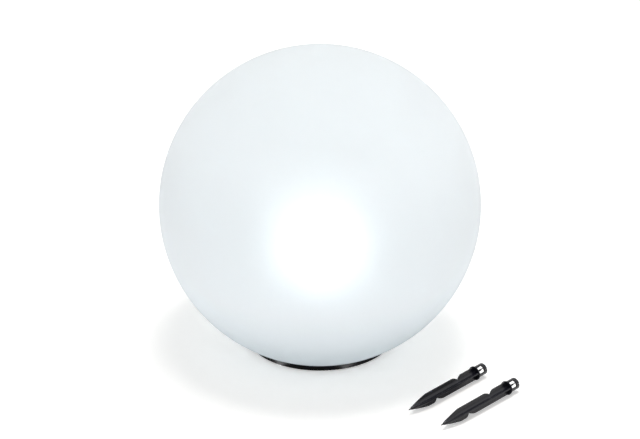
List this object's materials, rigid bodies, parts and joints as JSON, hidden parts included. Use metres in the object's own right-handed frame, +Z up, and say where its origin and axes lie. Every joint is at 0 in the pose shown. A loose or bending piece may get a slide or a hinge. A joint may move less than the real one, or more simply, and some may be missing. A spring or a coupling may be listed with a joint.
{
  "type": "garden globe light",
  "caption": "Opal globe garden light, lit from a lamp on an inner post, on a low black base dish with ground spikes that plug in underneath.",
  "frame": {"origin": "centre of the base's rubber foot ring, on the ground", "axes": "+Z up, the front faces -Y, +X to the right seen from the front"},
  "size_m": [0.4446, 0.4382, 0.3855],
  "materials": {
    "opal_globe": "satin opal",
    "white_plastic": "moulded satin",
    "gloss_black": "moulded gloss",
    "foot_rubber": "matt",
    "seal_rubber": "matt",
    "button_rubber": "matt",
    "screw_steel": "plated",
    "panel_backing": "sealed",
    "cell_blue": "polished",
    "lead_sleeve": "satin",
    "spun_aluminium": "turned",
    "board_white": "solder mask",
    "led_phosphor": "clear coat",
    "frosted_bulb": "frosted",
    "cell_wrap": "shrink sleeve",
    "contact_nickel": "nickel plated",
    "board_green": "solder mask",
    "component_black": "moulded",
    "spike_plastic": "moulded satin"
  },
  "bodies": {
    "base": {"base_dish": "gloss_black", "foot_ring": "foot_rubber", "neck_seal": "seal_rubber", "deck_cover": "white_plastic", "deck_seal": "seal_rubber", "deck_screws": "screw_steel", "solar_panel": "panel_backing", "solar_cells": "cell_blue", "panel_lead": "lead_sleeve", "lamp_post": "white_plastic", "post_screws": "screw_steel", "led_carrier": "spun_aluminium", "led_board": "board_white", "leds": "led_phosphor", "lamp_diffuser": "frosted_bulb", "led_lead": "lead_sleeve", "battery_cell": "cell_wrap", "battery_spring": "contact_nickel", "battery_contact_plate": "contact_nickel", "battery_leads": "lead_sleeve", "battery_door": "gloss_black", "battery_door_seal": "seal_rubber", "battery_door_screws": "screw_steel", "control_board": "board_green", "board_components": "component_black", "board_screws": "screw_steel", "switch_body": "component_black", "switch_seal": "seal_rubber"},
    "globe": {"globe_shell": "opal_globe", "neck_ring": "white_plastic"},
    "switch_button": {"switch_button": "button_rubber"},
    "spike_1": {"spike_1": "spike_plastic"},
    "spike_2": {"spike_2": "spike_plastic"}
  },
  "joints": [
    {"name": "globe_twist", "type": "hinge", "parent": "base", "child": "globe", "pos_m": [0, 0, 0.0095], "axis": [0, 0, 1], "range_deg": [0, 25]},
    {"name": "switch_press", "type": "slide", "parent": "base", "child": "switch_button", "axis": [0, 0, 1], "range_m": [0, 0.002], "stiffness_N_per_m": 300, "springref_m": -0.002},
    {"name": "spike_1_lift", "type": "slide", "parent": "base", "child": "spike_1", "axis": [0, 0, 1], "range_m": [0, 0.3]},
    {"name": "spike_2_lift", "type": "slide", "parent": "base", "child": "spike_2", "axis": [0, 0, 1], "range_m": [0, 0.3]}
  ]
}
